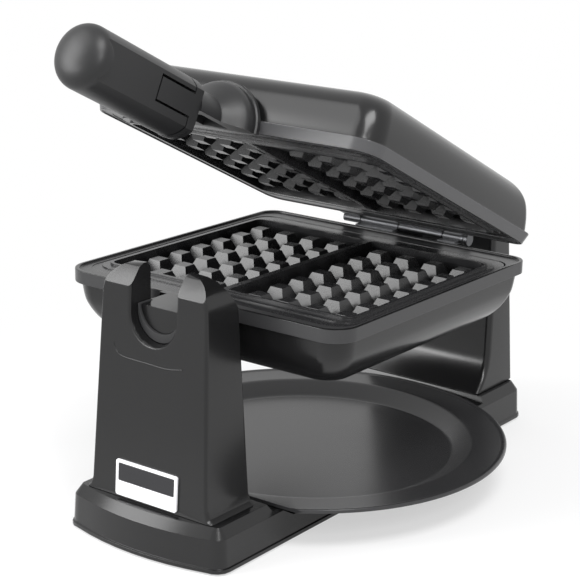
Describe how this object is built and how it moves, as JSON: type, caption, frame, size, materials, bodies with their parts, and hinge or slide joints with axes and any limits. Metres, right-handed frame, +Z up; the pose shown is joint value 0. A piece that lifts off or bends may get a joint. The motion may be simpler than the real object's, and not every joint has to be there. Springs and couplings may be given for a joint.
{
  "type": "rotating waffle maker",
  "caption": "Rotating waffle maker: a pan and a hinged lid with deep waffle plates roll between two towers over a round drip tray, with a folding handle on the lid.",
  "frame": {"origin": "middle of the whole machine in plan, at the surface that it stands on", "axes": "+Z up, +Y along the roll axis from the front tower to the rear tower, so the handle points to -Y; +X to the right seen from the front"},
  "size_m": [0.294, 0.4638, 0.3521],
  "materials": {
    "housing": "satin black moulded plastic",
    "grip": "satin black moulded plastic",
    "plate": "cast, with a dark non-stick coating",
    "tray": "dark grey, satin",
    "steel": "plain",
    "rubber": "matt",
    "badge": "white, no print",
    "badge_dark": "dark, no print"
  },
  "bodies": {
    "base": {"base_slab": "housing", "bottom_cover": "housing", "front_tower": "housing", "rear_tower": "housing", "cover_screw_1": "steel", "cover_screw_2": "steel", "cover_screw_3": "steel", "cover_screw_4": "steel", "foot_1": "rubber", "foot_2": "rubber", "foot_3": "rubber", "foot_4": "rubber", "cord_inlet": "rubber", "cradle_liner": "rubber", "rear_bush": "rubber", "badge_plate": "badge", "badge_field": "badge_dark"},
    "tray": {"drip_tray": "tray"},
    "pan": {"lower_housing": "housing", "lower_waffle_plate": "plate", "lower_element": "steel", "lower_heat_shield": "steel", "lower_thermostat": "steel", "lower_trunnion": "housing", "rear_trunnion": "housing", "shaft_washer": "steel", "hinge_leaf_left": "steel", "hinge_leaf_right": "steel", "hinge_washer": "steel", "hinge_pin": "steel"},
    "lid": {"upper_housing": "housing", "upper_waffle_plate": "plate", "upper_element": "steel", "upper_heat_shield": "steel", "upper_thermostat": "steel", "handle_neck": "grip", "handle_pin": "steel", "hinge_leaf_tabs": "steel", "hinge_leaf_middle": "steel"},
    "handle": {"handle_grip": "grip"}
  },
  "joints": [
    {"name": "roll", "type": "hinge", "parent": "base", "child": "pan", "pos_m": [0, -0.00043, 0.1645], "axis": [0, 1, 0], "range_deg": [-90, 90]},
    {"name": "lid_open", "type": "hinge", "parent": "pan", "child": "lid", "pos_m": [0, 0.13077, 0.1655], "axis": [-1, 0, 0], "range_deg": [-25.7, 64.3]},
    {"name": "handle_fold", "type": "hinge", "parent": "lid", "child": "handle", "pos_m": [0, -0.15634, 0.30269], "axis": [0, -0.434, -0.9009], "range_deg": [0, 90]},
    {"name": "tray_slide", "type": "slide", "parent": "base", "child": "tray", "axis": [1, 0, 0], "range_m": [0, 0.22]}
  ]
}
